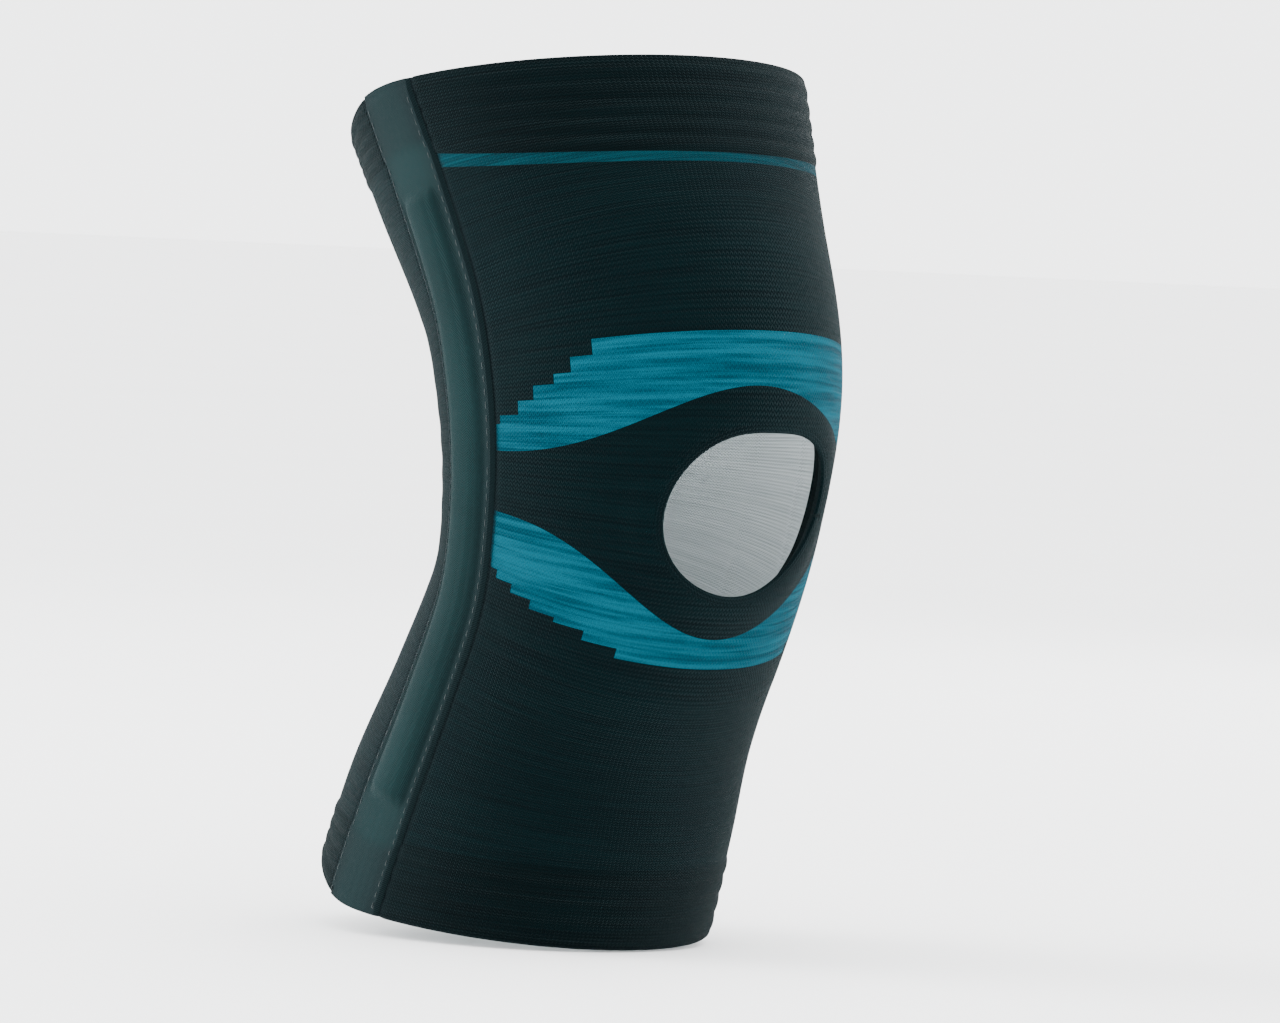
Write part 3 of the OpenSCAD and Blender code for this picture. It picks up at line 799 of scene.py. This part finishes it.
def stitches(name, s0, s1, nodes, bend):
    """Rows of short stitches along both edges of both tapes."""
    length, pitch, radius = 2.6, 3.8, 0.28
    a = np.arange(8) * 2 * math.pi / 8
    t = np.linspace(-1, 1, 7)
    grow = np.sqrt(np.clip(1 - np.abs(t) ** 3, 0.02, 1))
    points, faces = [], []
    for side in (-1, 1):
        for edge in (-1, 1):
            for middle in np.arange(s0, s1, pitch):
                s = (middle + t * length / 2)[:, None] + 0 * a
                across = edge * (TAPE_HALF - 1.7) + radius * grow[:, None] * np.cos(a)
                lift = 0.95 + radius * grow[:, None] * np.sin(a) - 0.25 * (t[:, None] ** 4)
                lift = lift + CUFF_STEP * over_cuff(s, 3)
                first = len(t) * len(a) * len(points)
                points.append(skin(on_tape(side, across, s), s, lift).reshape(-1, 3))
                faces += [tuple(i + first for i in f) for f in capped_tube(len(t), len(a))]
    obj = new_object(name, np.concatenate(points), faces, "thread")
    outward(obj)
    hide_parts(*nodes)
    bend(obj)


# ---- the patella opening --------------------------------------------------------------
def round_opening(phi, out):
    """theta and s of points out millimetres from the opening's edge, at the angle phi round it."""
    radius = opening_radius(phi) + out
    theta = OPENING_THETA + np.degrees(radius * np.cos(phi) / OPENING_R)
    return theta, OPENING_S + radius * np.sin(phi) / FRONT_STRETCH


def opening_ring(name, profile, slot, node):
    """Closed ring round the opening. profile is (out, lift) pairs going round its section."""
    count, radius, wale = 200, 28, 1.25
    phi = np.arange(count) * 2 * math.pi / count
    out, lift = (np.array(c)[None] for c in zip(*profile))
    theta, s = round_opening(phi[:, None], out)
    points = skin(theta, s, np.broadcast_to(lift, theta.shape)).reshape(-1, 3)
    columns = len(profile)
    run = np.cumsum([0] + [math.dist(a, b) for a, b in zip(profile, profile[1:])])
    around = np.repeat(phi * radius / wale, columns)
    uv = np.stack([around, np.tile(run, count) / COURSE], -1)
    obj = new_object(name, points, ring_grid(count, columns, True, True), slot, uv, np.zeros(len(points)))
    outward(obj)
    for half in cut_at_knee(obj, name + "_upper", name + "_lower"):
        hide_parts(node)


def rounded_band(out0, out1, lift0, lift1, corner):
    """Section of a flat ring with round corners, as (out, lift) pairs."""
    points = []
    for x, y, turn in ((out1, lift1, 0), (out0, lift1, 90), (out0, lift0, 180), (out1, lift0, 270)):
        cx = x - corner if turn in (0, 270) else x + corner
        cy = y - corner if turn in (0, 90) else y + corner
        for i in range(5):
            a = math.radians(turn + 22.5 * i)
            points.append((cx + corner * math.cos(a), cy + corner * math.sin(a)))
    return points


def opening():
    """The turned hem, the silicone ring behind it and the knitted cover that holds the ring."""
    hem = [(0, -0.1), (0.1, 0.3), (0.5, 0.65), (1.3, 0.9), (2.6, 1.0), (4.2, 0.95), (4.9, 0.7),
           (HEM_W, 0.2), (HEM_W, -1.9), (4.8, -2.3), (3.2, -2.2), (1.9, -1.5), (0.8, -0.9), (0.1, -0.5)]
    ring = rounded_band(8.0, 15.0, -4.0, -KNIT_T - 0.3, 0.7)
    cover = [(6.6, -2.6), (7.0, -2.45), (7.5, -2.5), (7.7, -2.9), (7.7, -4.1), (16.5, -4.2),
             (16.8, -4.6), (16.5, -5.0), (7.6, -5.0), (6.9, -4.8), (6.5, -4.2)]
    opening_ring("patella_hem_edge", hem, "knit", "patella_hem")
    opening_ring("patella_silicone_ring", ring, "silicone", "patella_ring")
    opening_ring("patella_ring_cover_knit", cover, "cuff_knit", "patella_ring_cover")


# ---- inside the cuffs -------------------------------------------------------------------
def grip_band(name, node, rim, inset, bend):
    """Silicone band: a thin backing with three raised waves running round the leg."""
    theta = np.arange(360) - 180
    height = 14.0
    v = np.linspace(-1, 1, 57)[:, None]
    wave = 0.16 * np.sin(np.radians(theta) * 24)[None]
    beads = sum(np.clip(1 - ((v - c - wave) / 0.13) ** 2, 0, 1) ** 0.5 for c in (-0.55, 0, 0.55))
    edge = smooth((1 - np.abs(v)) / 0.06)
    inner = -KNIT_T - 0.75 - 0.35 * edge - 0.75 * beads
    s = rim(theta)[None] + inset + v * height / 2
    outer = np.full_like(inner, -KNIT_T - 0.55)
    angles = np.broadcast_to(theta, inner.shape)
    points = np.concatenate([skin(angles, s, inner), skin(angles, s, outer)[::-1]])
    faces = ring_grid(2 * len(v), len(theta), closed_rows=True, closed_columns=True)
    obj = new_object(name, points.reshape(-1, 3), faces, "silicone")
    outward(obj)
    crease(obj)
    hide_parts(node)
    bend(obj)


def care_label():
    """Blank satin label inside the back of the calf, sewn at its top and curling at its foot."""
    theta, v = np.meshgrid(np.linspace(166, 194, 29), np.linspace(0, 1, 25))
    s = -104 - 20 * v
    outer = -KNIT_T - 0.9 - 2.2 * v ** 3 - 0.25 * np.sin(np.radians(theta - 166) * 14) * v
    points = np.concatenate([skin(theta, s, outer), skin(theta, s, outer - 0.4)[:, ::-1]], 1)
    rows, columns = points.shape[:2]
    uv = np.stack([np.tile(np.arange(columns) * 2.0, rows), np.repeat(np.arange(rows) * 2.0, columns)], -1)
    faces = capped_tube(rows, columns)
    obj = new_object("care_label_blank", points.reshape(-1, 3), faces, "label", uv)
    outward(obj)
    crease(obj)
    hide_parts("care_label")
    bend_lower(obj)


# ---- stage ---------------------------------------------------------------------------------
def area_light(name, place, size, power):
    """A soft round light turned to the object."""
    data = bpy.data.lights.new(name, "AREA")
    data.shape = "DISK"
    data.size = size
    data.energy = power
    obj = bpy.data.objects.new(name, data)
    obj.location = place
    obj.rotation_mode = "QUATERNION"
    obj.rotation_quaternion = Vector(place).to_track_quat("Z", "Y")
    bpy.context.scene.collection.objects.link(obj)


def stage():
    """Pale floor, white surroundings and large soft lights."""
    half, z = 40.0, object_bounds()[0].z - 0.0005
    mesh = bpy.data.meshes.new("floor")
    corners = [(-half, -half, z), (half, -half, z), (half, half, z), (-half, half, z)]
    mesh.from_pydata(corners, [], [(0, 1, 2, 3)])
    floor = bpy.data.objects.new("floor", mesh)
    bpy.context.scene.collection.objects.link(floor)
    n = Nodes("floor")
    cloud = n.noise(n.place(), 3.0)
    n.finish(n.mix(cloud, (0.88, 0.88, 0.88, 1), (0.91, 0.91, 0.91, 1)), cloud, 0.0001, 0.7)
    floor.data.materials.append(n.material)
    floor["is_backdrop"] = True
    world = bpy.data.worlds.new("studio")
    world.use_nodes = True
    background = world.node_tree.nodes["Background"]
    background.inputs["Color"].default_value = (0.95, 0.96, 0.97, 1)
    background.inputs["Strength"].default_value = 4.2
    bpy.context.scene.world = world
    area_light("left_back", (-1.5, 1.3, 0.7), 1.4, 80)
    area_light("right_back", (1.7, 0.8, 0.8), 1.4, 20)
    area_light("front", (-0.6, -2.2, 1.2), 1.6, 20)


def camera():
    """Long lens at the knee's height, turned to the lateral side and slightly rolled."""
    azimuth, elevation, roll = (math.radians(a) for a in (-36.46, 1.66, 2.78))
    distance = 2.5
    level = math.cos(elevation)
    back = Vector((math.sin(azimuth) * level, -math.cos(azimuth) * level, math.sin(elevation)))
    right = (-back).cross(Vector((0, 0, 1))).normalized()
    up = right.cross(-back)
    right, up = right * math.cos(roll) + up * math.sin(roll), up * math.cos(roll) - right * math.sin(roll)
    data = bpy.data.cameras.new("camera")
    data.sensor_width = 36
    data.lens = 224.7
    data.shift_x = 0.0054
    data.shift_y = -0.043
    data.clip_end = 100
    obj = bpy.data.objects.new("camera", data)
    bpy.context.scene.collection.objects.link(obj)
    obj.matrix_world = Matrix.Translation(back * distance) @ Matrix((right, up, back)).transposed().to_4x4()
    bpy.context.scene.camera = obj


sleeve()
cuff("thigh_cuff_knit", "thigh_cuff", cuff_base, thigh_rim, 5, bend_upper)
cuff("calf_cuff_knit", "calf_cuff", calf_cuff_base, calf_rim, 4, bend_lower)
side_tape(-1, "lateral_tape")
side_tape(1, "medial_tape")
stays()
stitches("stitching_upper", 2.5, TOP_S - 3, ("thigh_stitching", "knee_stitching"), bend_upper)
stitches("stitching_lower", LOW_S + 3, -2.5, ("calf_stitching",), bend_lower)
opening()
grip_band("thigh_grip_waves", "thigh_grip_band", thigh_rim, -11, bend_upper)
grip_band("calf_grip_waves", "calf_grip_band", calf_rim, 11, bend_lower)
care_label()
stage()
camera()
